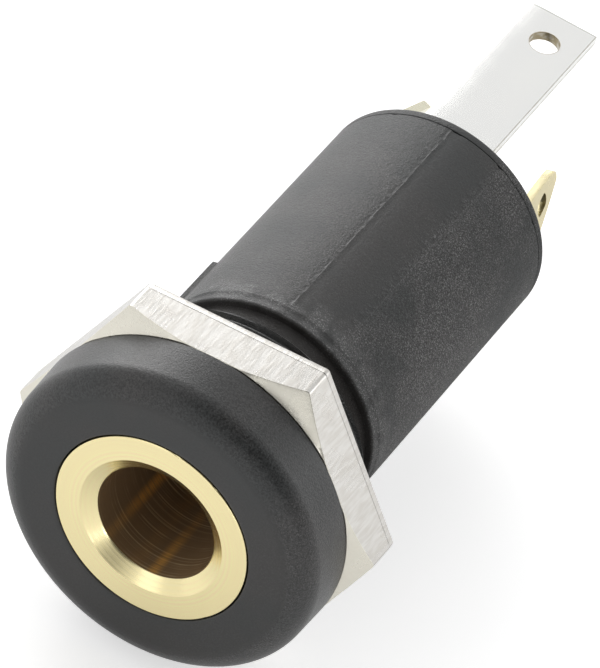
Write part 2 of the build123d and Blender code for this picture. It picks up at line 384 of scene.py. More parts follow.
    def flash(self, graph: Graph, place: Socket, line: "Wander", strength: float) -> Socket:
        """Returns how much lighter a line along the barrel is at a place: scuffed flash, and on the
        parting line partly a painted highlight of the ridge.

        Args:
            graph: The material's graph.
            place: The socket of its object coordinates.
            line: The line's course.
            strength: The largest share.

        Returns:
            A share between 0 and 1.
        """
        axes = graph.axes(place)
        along = axes[1]
        away = graph.math("ABSOLUTE", graph.minus(axes[0], line.socket(graph, along)))
        near = graph.fade(away, self.line_edge, 1.0, 0.0)
        behind = graph.fade(along, self.line_start)
        above = graph.fade(axes[2], (0.0, 1.0))
        line_breaks = graph.noise(place, self.line_break_scale, 4.0, 0.7)
        broken = graph.step(line_breaks, 0.42, 0.62, 0.10, strength)
        share = graph.times(near, behind)
        share = graph.times(share, above)
        return graph.times(share, broken)


@dataclass(frozen=True)
class BoreReflection:
    """A painted reflection: a light streak along the bore, in degrees and shares of full strength.
    """

    middle: float
    half_width: float
    at_mouth: float
    deeper: float


@dataclass(frozen=True)
class TurnedGold:
    """Gold plate over turned brass, with the tool's rings, painted shade in the bore and painted
    reflections along it.
    """

    name: str
    colour: Colour = (0.95, 0.830, 0.465)
    dull: Colour = (0.91, 0.800, 0.465)
    # Painted shade: the bore's dark brown, nearly non-metallic colour.
    bore: Colour = (0.31, 0.205, 0.112)
    bore_ring: Colour = (0.72, 0.56, 0.33)
    # Painted reflection: the colour of the orange streaks along the bore.
    bore_reflection: Colour = (1.00, 0.52, 0.13)
    bore_metallic: float = 0.12
    bore_edge: Point = (1.86, 1.83)
    bore_mouth: Point = (-1.80, -1.76)
    streak_length: Point = (-1.2, 0.8)
    reflection_streaks: tuple[BoreReflection, ...] = (
        BoreReflection(-137.0, 8.5, 0.30, 1.0),
        BoreReflection(171.5, 8.0, 0.80, 0.25),
        BoreReflection(-171.0, 10.0, 0.10, 0.10),
    )
    tool_scale: float = 15000.0
    feed_scale: float = 4200.0
    pit_scale: float = 9000.0
    bore_ring_scale: float = 11000.0
    patch_scale: float = 900.0
    tool_depth: float = 0.0022
    feed_depth: float = 0.0020
    pit_depth: float = 0.0004

    def material(self) -> bpy.types.Material:
        """Builds the material."""
        material, graph, place = new_material(self.name)
        radius = graph.length(place, ACROSS)
        axes = graph.axes(place)
        along = axes[1]
        tool = graph.plus(radius, graph.times(along, 0.7))
        rings = graph.line_noise(tool, self.tool_scale, 3.0)
        feed = graph.line_noise(tool, self.feed_scale)
        pits = graph.noise(place, self.pit_scale, 3.0)
        colour = graph.mix(graph.step(rings, 0.30, 0.70), self.colour, self.dull)
        # Painted shade: inside the bore the colour turns dark brown and nearly non-metallic.
        inside = graph.times(graph.fade(radius, self.bore_edge), graph.fade(along, self.bore_mouth))
        colour = graph.mix(inside, colour, self.bore_colour(graph, place, axes))
        relief = graph.bump(feed, self.feed_depth)
        relief = graph.bump(rings, self.tool_depth, under=relief)
        relief = graph.bump(pits, self.pit_depth, under=relief)
        roughness = graph.step(rings, 0.3, 0.7, 0.18, 0.26)
        metallic = graph.minus(1.0, graph.times(inside, 1.0 - self.bore_metallic))
        inputs = {"Base Color": colour, "Metallic": metallic, "Roughness": roughness}
        finish_material(graph, inputs | {"Normal": relief})
        return material

    def bore_colour(self, graph: Graph, place: Socket, axes: Sequence[Socket]) -> Socket:
        """Returns the bore's colour: painted shade, with rings from the tool and painted
        reflections in streaks along it.

        Args:
            graph: The material's graph.
            place: The socket of its object coordinates.
            axes: The sockets of its three coordinates.

        Returns:
            The colour's socket.
        """
        patch = graph.step(graph.noise(place, self.patch_scale, 2.0), 0.40, 0.60, 0.08, 0.8)
        rings = graph.line_noise(axes[1], self.bore_ring_scale, 4.0)
        ring_share = graph.times(graph.step(rings, 0.48, 0.72), patch)
        colour = graph.mix(ring_share, self.bore, self.bore_ring)
        angle = graph.math("ARCTAN2", axes[0], axes[2])
        # Painted reflections: light streaks along the bore where the bright sides would be
        # mirrored.
        for streak in self.reflection_streaks:
            off = graph.minus(angle, math.radians(streak.middle))
            wrapped = graph.node("Math", {0: off, 1: math.pi, 2: -math.pi}, operation="WRAP")
            away = graph.math("ABSOLUTE", wrapped.outputs[0])
            near = graph.step(away, 0.0, math.radians(streak.half_width), 1.0, 0.0)
            length = graph.fade(axes[1], self.streak_length, streak.at_mouth, streak.deeper)
            reflected = graph.times(graph.times(near, length), graph.step(rings, 0.30, 0.62, 0.40, 1.0))
            colour = graph.mix(reflected, colour, self.bore_reflection)
        return colour


@dataclass(frozen=True)
class StampedMetal:
    """Plated strip or bar, with faint clouds and, where drawn, lines along the jack's axis."""

    name: str
    colour: Colour
    dull: Colour
    smooth: float = 0.16
    rough: float = 0.26
    line_depth: float = 0.0
    broad_depth: float = 0.0
    pit_depth: float = 0.0004
    line_scale: float = 12000.0
    broad_scale: float = 4200.0
    pit_scale: float = 9000.0
    cloud_scale: float = 700.0
    drawn: Triple = (1.0, 0.16, 1.0)

    def material(self) -> bpy.types.Material:
        """Builds the material."""
        material, graph, place = new_material(self.name)
        cloud = graph.noise(place, self.cloud_scale, 4.0, 0.6)
        pits = graph.noise(place, self.pit_scale, 3.0)
        share = graph.step(cloud, 0.30, 0.75)
        relief = graph.bump(pits, self.pit_depth)
        if self.line_depth:
            drawn = graph.vector("MULTIPLY", place, self.drawn).outputs[0]
            lines = graph.noise(drawn, self.line_scale, 1.0)
            broad = graph.noise(drawn, self.broad_scale, 2.0)
            both = graph.plus(graph.times(lines, 0.6), graph.times(broad, 0.4))
            share = graph.step(both, 0.36, 0.64)
            relief = graph.bump(broad, self.broad_depth, under=relief)
            relief = graph.bump(lines, self.line_depth, under=relief)
        colour = graph.mix(share, self.colour, self.dull)
        roughness = graph.step(cloud, 0.30, 0.70, self.smooth, self.rough)
        colour, roughness = self.cut_faces(graph, place, colour, roughness)
        inputs = {"Base Color": colour, "Metallic": 1.0, "Roughness": roughness}
        finish_material(graph, inputs | {"Normal": relief})
        return material

    def cut_faces(
        self, graph: Graph, place: Socket, colour: Socket, roughness: Socket
    ) -> tuple[Socket, Socket]:
        """Returns the colour and roughness, here unchanged, as where it was plated last."""
        return colour, roughness


@dataclass(frozen=True)
class PunchedSilver(StampedMetal):
    """Silver plated strip whose punched hole, end and right edges are bare."""

    brass: Colour = (0.34, 0.29, 0.19)
    hole_y: float = TAG_END - TAG_HOLE_INSET
    hole_radius: float = TAG_HOLE_RADIUS
    end_y: float = TAG_END
    burr: Colour = (0.44, 0.43, 0.37)
    half_width: float = TAG_WIDTH / 2
    top: float = TAG_MIDDLE + TAG_THICKNESS / 2
    bottom: float = TAG_MIDDLE - TAG_THICKNESS / 2
    hole_rim: Point = (0.022, 0.008)
    end_rim: Point = (-0.045, -0.020)
    top_rim: Point = (-0.036, -0.020)
    bottom_rim: Point = (-0.13, -0.10)
    smear_scale: float = 5000.0
    burr_share: float = 0.8

    def cut_faces(
        self, graph: Graph, place: Socket, colour: Socket, roughness: Socket
    ) -> tuple[Socket, Socket]:
        """Returns the colour and roughness, with bare brass in the hole and dull cut edges."""
        away = graph.vector("SUBTRACT", place, (0.0, self.hole_y * MM, 0.0)).outputs[0]
        distance = graph.length(away, (1.0, 1.0, 0.0))
        hole = graph.fade(distance, beyond(self.hole_radius, self.hole_rim))
        axes = graph.axes(place)
        end = graph.fade(axes[1], beyond(self.end_y, self.end_rim))
        smear = graph.step(graph.noise(place, self.smear_scale, 2.0), 0.25, 0.60, 0.55, 1.0)
        top = beyond(self.half_width + self.top, self.top_rim)
        upper = graph.fade(graph.plus(axes[0], axes[2]), top)
        bottom = beyond(self.half_width - self.bottom, self.bottom_rim)
        lower = graph.fade(graph.minus(axes[0], axes[2]), bottom)
        burr = graph.times(graph.larger(graph.larger(upper, lower), end), smear)
        colour = graph.mix(graph.times(burr, self.burr_share), colour, self.burr)
        cut = graph.times(hole, smear)
        rougher = graph.plus(roughness, graph.times(cut, 0.25))
        return graph.mix(cut, colour, self.brass), rougher


@dataclass(frozen=True)
class PlatedNut(StampedMetal):
    """Nickel plated bar whose turned chamfer is warmer than its flats."""

    turned: Colour = (0.80, 0.77, 0.67)
    chamfer_start: float = NUT_CHAMFER_START
    front: float = NUT_FRONT
    cone_edge: Point = (0.034, 0.020)
    turned_share: float = 0.85

    def cut_faces(
        self, graph: Graph, place: Socket, colour: Socket, roughness: Socket
    ) -> tuple[Socket, Socket]:
        """Returns the colour and roughness, with the chamfer's own colour on its cone."""
        radius = graph.length(place, ACROSS)
        out = graph.larger(graph.minus(radius, self.chamfer_start * MM), 0.0)
        rise = graph.plus(graph.times(out, NUT_CHAMFER), self.front * MM)
        on_cone = graph.fade(graph.minus(graph.axes(place)[1], rise), self.cone_edge)
        turned = graph.times(on_cone, self.turned_share)
        return graph.mix(turned, colour, self.turned), roughness


# ---- Mesh helpers


@dataclass(frozen=True)
class Wander:
    """A line along the barrel that strays a little from straight, in millimetres."""

    offset: float
    waves: tuple[tuple[float, float, float], ...]

    def at(self, y: float) -> float:
        """Returns the line's x at a place along the axis."""
        return self.offset + sum(
            size * math.sin(math.tau * y / length + phase) for size, length, phase in self.waves
        )

    def socket(self, graph: Graph, along: Socket) -> Socket:
        """Returns the same line in metres, for a material."""
        total: Any = self.offset * MM
        for size, length, phase in self.waves:
            turn = graph.plus(graph.times(along, math.tau / (length * MM)), phase)
            total = graph.plus(graph.times(graph.math("SINE", turn), size * MM), total)
        return total


PARTING = Wander(-0.075, ((0.007, 2.6, 0.4), (0.005, 1.1, 2.0), (0.005, 0.47, 0.0)))
WITNESS = Wander(1.667, ((0.004, 3.1, 1.0),))


def arc(centre: Point, radii: Point, start: float, end: float, steps: int) -> list[Point]:
    """Lists the points of an elliptical arc, both ends included.

    Args:
        centre: The ellipse's centre.
        radii: Its half widths.
        start: The first point's angle in degrees.
        end: The last point's angle in degrees.
        steps: The number of chords.

    Returns:
        The points in order.
    """
    turns = [math.radians(start + (end - start) * k / steps) for k in range(steps + 1)]
    return [(centre[0] + radii[0] * math.cos(t), centre[1] + radii[1] * math.sin(t)) for t in turns]


def circle(radius: float, count: int) -> list[Point]:
    """Lists evenly spaced points of a circle about the origin."""
    return arc((0.0, 0.0), (radius, radius), 0.0, 360.0 - 360.0 / count, count - 1)


def run(first: Point, last: Point, steps: int) -> list[Point]:
    """Lists evenly spaced points of a straight run, both ends included."""
    (x, y), (across, up) = first, (last[0] - first[0], last[1] - first[1])
    return [(x + across * (k / steps), y + up * (k / steps)) for k in range(steps + 1)]


def filleted(corners: Sequence[Point], radii: Sequence[float], steps: int = 8) -> list[Point]:
    """Rounds the inner corners of a path.

    Args:
        corners: The path's corners, ends included.
        radii: The radius at each inner corner.
        steps: The chords in each rounding.

    Returns:
        The rounded path.
    """
    path = [Vector(corners[0])]
    for before, corner, after, radius in zip(corners, corners[1:], corners[2:], radii):
        here = Vector(corner)
        back = (Vector(before) - here).normalized()
        ahead = (Vector(after) - here).normalized()
        half = back.angle(ahead) / 2
        middle = (back + ahead).normalized()
        centre = here + middle * (radius / math.sin(half))
        reach = radius / math.tan(half)
        start = here + back * reach - centre
        sweep = start.angle_signed(here + ahead * reach - centre)
        for k in range(steps + 1):
            path.append(centre + Matrix.Rotation(-sweep * k / steps, 2) @ start)
    path.append(Vector(corners[-1]))
    return [(p.x, p.y) for p in path]


def thickened(path: Sequence[Point], thickness: float) -> list[Point]:
    """Returns the closed outline of a strip seen edge on.

    Args:
        path: The strip's middle line.
        thickness: The strip's thickness.

    Returns:
        The outline's points in order.
    """
    points = [Vector(p) for p in path]
    left: list[Point] = []
    right: list[Point] = []
    for k, here in enumerate(points):
        back = (here - points[max(k - 1, 0)]).normalized() if k else None
        ahead = (points[k + 1] - here).normalized() if k + 1 < len(points) else None
        along = ((back or ahead) + (ahead or back)).normalized()
        side = Vector((-along.y, along.x))
        scale = thickness / 2 / max(along.dot(ahead or back), 0.5)
        left.append(tuple(here + side * scale))
        right.append(tuple(here - side * scale))
    return left + right[::-1]


def lathe(profile: Sequence[Point], columns: int) -> tuple[bmesh.types.BMesh, Any]:
    """Spins a closed profile about the jack's axis.

    Args:
        profile: The (radius, y) points, the last one joined to the first.
        columns: The number of steps in the full turn.

    Returns:
        The mesh, and the vertex layer that says which profile point each vertex came from.
    """
    mesh = bmesh.new()
    ring = mesh.verts.layers.int.new("ring")
    points = []
    for index, (radius, y) in enumerate(profile):
        vertex = mesh.verts.new((0.0, y, radius))
        vertex[ring] = index
        points.append(vertex)
    edges = [mesh.edges.new((a, b)) for a, b in zip(points, points[1:] + points[:1])]
    bmesh.ops.spin(
        mesh,
        geom=points + edges,
        cent=(0.0, 0.0, 0.0),
        axis=(0.0, 1.0, 0.0),
        angle=math.tau,
        steps=columns,
        use_merge=True,
        use_duplicate=False,
    )
    return mesh, ring


def reshape(mesh: bmesh.types.BMesh, ring: Any, shape: Callable[..., Triple]) -> None:
    """Moves each vertex of a turned mesh.

    Args:
        mesh: The mesh that lathe made.
        ring: Its ring layer.
        shape: Gets a ring number, radius, y and angle, and returns the new radius, y and angle.
    """
    for vertex in mesh.verts:
        x, y, z = vertex.co
        radius, y, angle = shape(vertex[ring], math.hypot(x, z), y, math.degrees(math.atan2(x, z)))
        turn = math.radians(angle)
        vertex.co = (radius * math.sin(turn), y, radius * math.cos(turn))


def prism(outline: Sequence[Point], depth: float, place: Matrix) -> bmesh.types.BMesh:
    """Extrudes a flat outline to both sides of its plane.

    Args:
        outline: The closed outline in its own x and y.
        depth: The whole depth along its z.
        place: Where the outline's plane stands.

    Returns:
        The mesh.
    """
    mesh = bmesh.new()
    face = mesh.faces.new([mesh.verts.new((x, y, -depth / 2)) for x, y in outline])
    raised = bmesh.ops.extrude_face_region(mesh, geom=[face])["geom"]
    lifted = [item for item in raised if isinstance(item, bmesh.types.BMVert)]
    bmesh.ops.translate(mesh, verts=lifted, vec=(0.0, 0.0, depth))
    bmesh.ops.transform(mesh, matrix=place, verts=mesh.verts)
    bmesh.ops.recalc_face_normals(mesh, faces=mesh.faces)
    return mesh


def combined(base: bmesh.types.BMesh, tool: bmesh.types.BMesh, cut: Cut) -> bmesh.types.BMesh:
    """Combines two closed meshes and frees them.

    Args:
        base: The mesh that is cut or added to.
        tool: The other mesh.
        cut: How they are combined.

    Returns:
        The result.
    """
    objects = []
    for part in (base, tool):
        data = bpy.data.meshes.new("work")
        part.to_mesh(data)
        part.free()
        work = bpy.data.objects.new("work", data)
        bpy.context.scene.collection.objects.link(work)
        objects.append(work)
    modifier = objects[0].modifiers.new("cut", "BOOLEAN")
    modifier.operation = cut.value
    modifier.solver = "EXACT"
    modifier.object = objects[1]
    result = bmesh.new()
    result.from_object(objects[0], bpy.context.evaluated_depsgraph_get())
    for work in objects:
        data = work.data
        bpy.data.objects.remove(work)
        bpy.data.meshes.remove(data)
    return result


def soften(mesh: bmesh.types.BMesh, width: float, angle: float = 40.0) -> None:
    """Rounds the sharp edges of a mesh of flat faces.

    Args:
        mesh: The mesh.
        width: The rounding's width.
        angle: Edges that turn by more than this are rounded.
    """
    bmesh.ops.remove_doubles(mesh, verts=mesh.verts, dist=1e-4)
    level = math.radians(0.5)
    bmesh.ops.dissolve_limit(mesh, angle_limit=level, verts=mesh.verts, edges=mesh.edges)
    limit = math.radians(angle)
    sharp = [edge for edge in mesh.edges if edge.is_manifold and edge.calc_face_angle() > limit]
    bmesh.ops.bevel(
        mesh,
        geom=sharp,
        offset=width,
        offset_type="OFFSET",
        segments=3,
        profile=0.5,
        affect="EDGES",
        material=-1,
        clamp_overlap=True,
    )


def publish(
    mesh: bmesh.types.BMesh,
    name: str,
    material: bpy.types.Material,
    body: Body,
    stands_for: str,
    smooth_angle: float = 32.0,
    plane: Callable[[bmesh.types.BMFace], bool] = lambda face: False,
) -> bpy.types.Object:
    """Turns a mesh in millimetres into a finished piece.

    Args:
        mesh: The mesh, which is freed.
        name: The piece's name.
        material: Its finish.
        body: The body it rides on.
        stands_for: The CAD node it replaces.
        smooth_angle: Edges that turn by more than this stay sharp.
        plane: Tells which faces are plane and shaded so.

    Returns:
        The piece's object.
    """
    bmesh.ops.recalc_face_normals(mesh, faces=mesh.faces)
    for face in mesh.faces:
        face.smooth = not plane(face)
    bmesh.ops.scale(mesh, vec=(MM, MM, MM), verts=mesh.verts)
    limit = math.radians(smooth_angle)
    for edge in mesh.edges:
        edge.smooth = not edge.is_manifold or edge.calc_face_angle() < limit
    data = bpy.data.meshes.new(name)
    mesh.to_mesh(data)
    mesh.free()
    data.materials.append(material)
    piece = bpy.data.objects.new(name, data)
    bpy.context.scene.collection.objects.link(piece)
    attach(piece, body.value)
    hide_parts(stands_for)
    log.info("%s: %d faces, for %s", name, len(data.polygons), stands_for)
    return piece


def turned_by(angle: float, middle: float) -> float:
    """Returns the shortest turn from a middle angle to an angle."""
    return (angle - middle + 180.0) % 360.0 - 180.0


# ---- Sub-assemblies


@dataclass
class Thread:
    """The M8 x 0.5 thread that the neck and the nut share."""

    crest: float = 3.97
    depth: float = 0.27
    pitch: float = 0.5
    run_in: float = 0.35
    crest_flat: float = 0.125
    root_flat: float = 0.25
    clearance: float = 0.04

    def radius(self, y: float, angle: float) -> float:
        """Returns the outer thread's radius at a place and angle."""
        turns = (y - self.run_in) / self.pitch - (angle % 360.0) / 360.0
        groove = max(round(turns), 0)
        flank_end = 1.0 - self.crest_flat
        share = (flank_end - 2.0 * abs(turns - groove)) / (flank_end - self.root_flat)
        return self.crest - self.depth * min(max(share, 0.0), 1.0)


@dataclass(frozen=True)
class Keyway:
    """A slot for a tag: its angle, half width, reach from the axis and start along it."""

    angle: float
    half_width: float
    reach: float
    start: float


@dataclass
class Housing:
    """The moulding: bezel, threaded neck, groove and drafted barrel."""

    thread: Thread
    face_y: float = FACE_Y
    bezel_radius: float = 4.95
    bezel_front_radius: float = 4.916
    bezel_flat_radius: float = 4.03
    bezel_corner_depth: float = 0.77
    head_seat: float = 3.02
    shank_seat: float = 2.47
    bush_seat_y: float = -0.57
    thread_end: float = 3.2
    groove_radius: float = 3.31
    groove_end: float = 4.0
    lip_radius: float = 3.55
    lip_end: float = 4.38
    barrel_radius: float = 3.58
    barrel_rear_radius: float = REAR_RADIUS
    tube_end: float = TUBE_END
    chamber_radius: float = 2.75
    chamber_floor: float = 2.95
    run_out_radius: float = 3.67
    keyways: tuple[Keyway, ...] = (
        Keyway(0.0, TAG_WIDTH / 2 + WINDOW_GAP, 2.87, 2.95),
        Keyway(SPRING_ANGLE, SPRING_WIDTH / 2 + WINDOW_GAP, 3.07, 4.38),
        Keyway(-SPRING_ANGLE, SPRING_WIDTH / 2 + WINDOW_GAP, 3.07, 4.38),
    )
    key_height: float = 0.12
    key_angle: float = -79.0
    key_half_width: float = 9.6
    key_end: float = 6.84
    seam_nicks: tuple[Point, ...] = (
        (0.5, 0.05), (3.0, 0.03), (27.0, 0.06), (-31.0, 0.03), (58.0, 0.03),
    )
    nick_width: float = 1.1
    flash_height: float = 0.008
    flash_unevenness: float = 0.005
    columns: int = 336

    def profile(self) -> list[Point]:
        """Lists the moulding's closed profile from the bush's seat round to the chamber."""
        face, flat, front = self.face_y, self.bezel_flat_radius, self.bezel_front_radius
        rim, corner = 0.04, self.bezel_corner_depth
        points = arc((self.head_seat + 0.07, face + 0.05), (0.05, 0.05), 180, 270, 4)
        points += run((3.2, face), (flat - 0.1, face), 4)
        points += arc((flat, face + corner), (front - flat, corner), -90, 0, 28)
        points += run((front + 0.004, -1.1), (self.bezel_radius, -0.05), 5)
        points += arc((self.bezel_radius - rim, -rim), (rim, rim), 15, 90, 4)
        return points + self.neck_profile() + self.barrel_profile() + self.inner_profile()

    def neck_profile(self) -> list[Point]:
        """Lists the profile of the threaded neck and the groove behind it."""
        crest, end, groove = self.thread.crest, self.thread_end, self.groove_radius
        points = [(4.4, 0.0), (4.05, 0.0), (3.80, 0.04)]
        points += run((crest, 0.12), (crest, end - 0.02), 76)
        points += [(3.665, end), (3.40, end), (groove + 0.03, end + 0.01), (groove, end + 0.05)]
        end = self.groove_end
        return points + [(groove, end - 0.05), (groove + 0.02, end - 0.01), (groove + 0.05, end)]

    def barrel_profile(self) -> list[Point]:
        """Lists the profile of the lip, the barrel and the end that the cap closes."""
        lip, end, rim = self.lip_radius, self.tube_end, 0.045
        points = arc((lip - 0.10, self.groove_end + 0.10), (0.10, 0.10), -80, 0, 8)
        points += [(lip, self.groove_end + 0.20), (lip, self.lip_end - 0.06)]
        points += [(self.barrel_radius, self.lip_end), (self.barrel_radius, self.lip_end + 0.03)]
        points += run(self.on_barrel(self.lip_end + 0.12), self.on_barrel(self.key_end - 0.02), 18)
        points += run(self.on_barrel(self.key_end + 0.01), self.on_barrel(end - 0.06), 48)
        return points + arc((self.barrel_rear_radius - rim, end - rim), (rim, rim), 0, 90, 4)

    def inner_profile(self) -> list[Point]:
        """Lists the profile of the chamber and of the bush's seats, from the rear to the front."""
        wall, end, floor = self.chamber_radius, self.tube_end, self.chamber_floor
        points = [(3.2, end), (wall + 0.05, end), (wall + 0.02, end), (wall, end - 0.02)]
        points += run((wall, 12.0), (wall, self.lip_end + 0.02), 4)
        points += [(wall, self.lip_end), (wall, floor + 0.02), (wall, floor)]
        points += [(self.shank_seat, y) for y in (floor, 1.0, self.bush_seat_y)]
        return points + [(self.head_seat, self.bush_seat_y), (self.head_seat, -1.3)]

    def on_barrel(self, y: float) -> Point:
        """Returns the drafted barrel's (radius, y) at a place along the axis."""
        share = (y - self.lip_end) / (self.tube_end - self.lip_end)
        return (self.barrel_radius + (self.barrel_rear_radius - self.barrel_radius) * share, y)

    def shape(self, ring: int, radius: float, y: float, angle: float) -> Triple:
        """Adds the thread, the key, the parting line and the keyways to a turned point."""
        if abs(radius - self.thread.crest) < 0.03 and 0.1 < y < self.thread_end:
            run_out = self.thread_end + self.run_out_radius - y
            return min(self.thread.radius(y, angle), run_out), y, angle
        if radius > self.groove_radius + 0.1 and y > self.lip_end + 0.1:
            return self.barrel_point(radius, y, angle)
        if -0.05 < radius - self.chamber_radius < 0.03:
            return self.keyway(radius, y, angle), y, angle
        return radius, y, angle

    def barrel_point(self, radius: float, y: float, angle: float) -> Triple:
        """Raises the key and the parting line's flash on the barrel."""
        off_key = abs(turned_by(angle, self.key_angle))
        if y < self.key_end and off_key <= self.key_half_width:
            return radius + self.key_height, y, angle
        if y > self.tube_end - 0.055:
            for middle, depth in self.seam_nicks:
                radius -= depth * math.exp(-(((angle - middle) / self.nick_width) ** 2))
        near = angle / (360.0 / self.columns)
        if abs(near) < 1.5 and y < self.tube_end - 0.05:
            middle = math.degrees(PARTING.at(y) / radius)
            if abs(near) < 0.5:
                uneven = self.flash_unevenness * math.sin(7.0 * y) * math.sin(2.9 * y + 1.0)
                return radius + (self.flash_height + uneven), y, middle
            return radius, y, middle + math.copysign(0.45, near)
        return radius, y, angle

    def keyway(self, radius: float, y: float, angle: float) -> float:
        """Returns the chamber wall's radius, with the keyways for the tags."""
        for keyway in self.keyways:
            away = turned_by(angle, keyway.angle)
            reach = math.degrees(math.asin(keyway.half_width / keyway.reach))
            if y > keyway.start + 0.01 and abs(away) <= reach:
                return max(radius, keyway.reach / math.cos(math.radians(away)))
        return radius

    def build(self, material: bpy.types.Material) -> bpy.types.Object:
        """Builds and dresses the moulding."""
        mesh, ring = lathe(self.profile(), self.columns)
        reshape(mesh, ring, self.shape)
        socket, slot = Body.SOCKET, Slot.PLASTIC
        return publish(mesh, "housing_moulding", material, socket, "housing", 28.0)


@dataclass(frozen=True)
class Window:
    """A tag's way out through the cap: its angle, distance from the axis, width and height."""

    angle: float
    middle: float
    width: float
    height: float


@dataclass
class RearCap:
    """The cap that closes the chamber, with a window for each tag."""

    rear_radius: float = REAR_RADIUS
    tube_end: float = TUBE_END
    barrel_end: float = BARREL_END
    plug_radius: float = 2.73
    plug_depth: float = 1.2
    edge_radius: float = 0.13
    seam_radius: float = 0.035
    centre: float = 0.02
    windows: tuple[Window, ...] = (
        Window(0.0, TAG_MIDDLE, TAG_WIDTH + 2 * WINDOW_GAP, 0.34),
        Window(SPRING_ANGLE, SPRING_MIDDLE, SPRING_WIDTH + 2 * WINDOW_GAP, 0.36),
        Window(-SPRING_ANGLE, SPRING_MIDDLE, SPRING_WIDTH + 2 * WINDOW_GAP, 0.36),
    )
    columns: int = 240

    def build(self, material: bpy.types.Material) -> bpy.types.Object:
        """Builds and dresses the cap."""
        outer, end, start = self.rear_radius, self.barrel_end, self.tube_end
        edge, seam, plug = self.edge_radius, self.seam_radius, self.plug_radius
        inner = start - self.plug_depth
        profile = [(plug, start), (3.1, start)]
        profile += arc((outer - seam, start + seam), (seam, seam), -90, 0, 4)
        profile += arc((outer - edge, end - edge), (edge, edge), 0, 90, 8)
        profile += [(radius, end) for radius in (2.6, 1.6, 0.6, self.centre)]
        profile += [(self.centre, inner), (1.6, inner), (plug - 0.05, inner), (plug, inner + 0.05)]
        mesh, _ = lathe(profile, self.columns)
        bmesh.ops.remove_doubles(mesh, verts=mesh.verts, dist=0.003)
        for window in self.windows:
            mesh = combined(mesh, self.block(window), Cut.TAKE_AWAY)
        socket, slot = Body.SOCKET, Slot.PLASTIC
        return publish(mesh, "rear_cap_moulding", material, socket, "rear_cap", 35.0)

    def block(self, window: Window) -> bmesh.types.BMesh:
        """Returns the block that cuts a window."""
        block = bmesh.new()
        bmesh.ops.create_cube(block, size=1.0)
        bmesh.ops.scale(block, vec=(window.width, 4.0, window.height), verts=block.verts)
        bmesh.ops.translate(block, vec=(0.0, self.barrel_end, window.middle), verts=block.verts)
        turn = Matrix.Rotation(math.radians(window.angle), 4, "Y")
        bmesh.ops.transform(block, matrix=turn, verts=block.verts)
        return block


@dataclass
class ContactBush:
    """The turned bush, riveted over the earth tag's ring."""

    face_y: float = FACE_Y
    bore: float = 1.82
    mouth: float = 2.23
    mouth_depth: float = 0.28
    head: float = 3.0
    head_back: float = -0.57
    shank: float = 2.45
    floor: float = 2.95
    rivet: float = 2.2
    rivet_front: float = 3.27
    rivet_rear: float = 3.43
    head_rim: float = 0.04
    nicks: tuple[Point, ...] = ((4.0, 0.018), (31.0, 0.014), (133.0, 0.012))
    nick_width: float = 1.6
    columns: int = 288

    def build(self, material: bpy.types.Material) -> bpy.types.Object:
        """Builds and dresses the bush."""
        face, mouth, bore, rim = self.face_y, self.mouth, self.bore, self.head_rim
        rivet, front, rear = self.rivet, self.rivet_front, self.rivet_rear
        chamfer_end = face + self.mouth_depth
        profile = [(mouth - 0.004, face + 0.006), (mouth + 0.006, face)]
        profile += run((mouth + 0.02, face), (self.head - 0.06, face), 6)
        profile += arc((self.head - rim, face + rim), (rim, rim), -90, 0, 4)
        profile += [(self.head, -1.3), (self.head, self.head_back), (self.shank, self.head_back)]
        profile += [(self.shank, self.floor), (rivet, self.floor), (rivet, front)]
        profile += [(rivet + 0.18, front), (rivet + 0.03, rear)]
        profile += [(bore + 0.1, rear), (bore, rear - 0.1)]
        profile += run((bore, 3.0), (bore, chamfer_end + 0.1), 10)
        profile += [(bore, chamfer_end + 0.015), (bore + 0.006, chamfer_end)]
        profile += run((bore + 0.022, chamfer_end - 0.015), (mouth - 0.018, face + 0.0155), 8)
        mesh, ring = lathe(profile, self.columns)
        reshape(mesh, ring, self.nick)
        socket, slot = Body.SOCKET, Slot.BUSH
        return publish(mesh, "contact_bush_turned", material, socket, "contact_bush", 15.0)

    def nick(self, ring: int, radius: float, y: float, angle: float) -> Triple:
        """Presses a few small nicks into the head's outer edge."""
        if y < self.face_y + 0.02 and radius > self.head - self.head_rim:
            for middle, depth in self.nicks:
                away = turned_by(angle, middle)
                radius -= depth * math.exp(-((away / self.nick_width) ** 2))
        return radius, y, angle


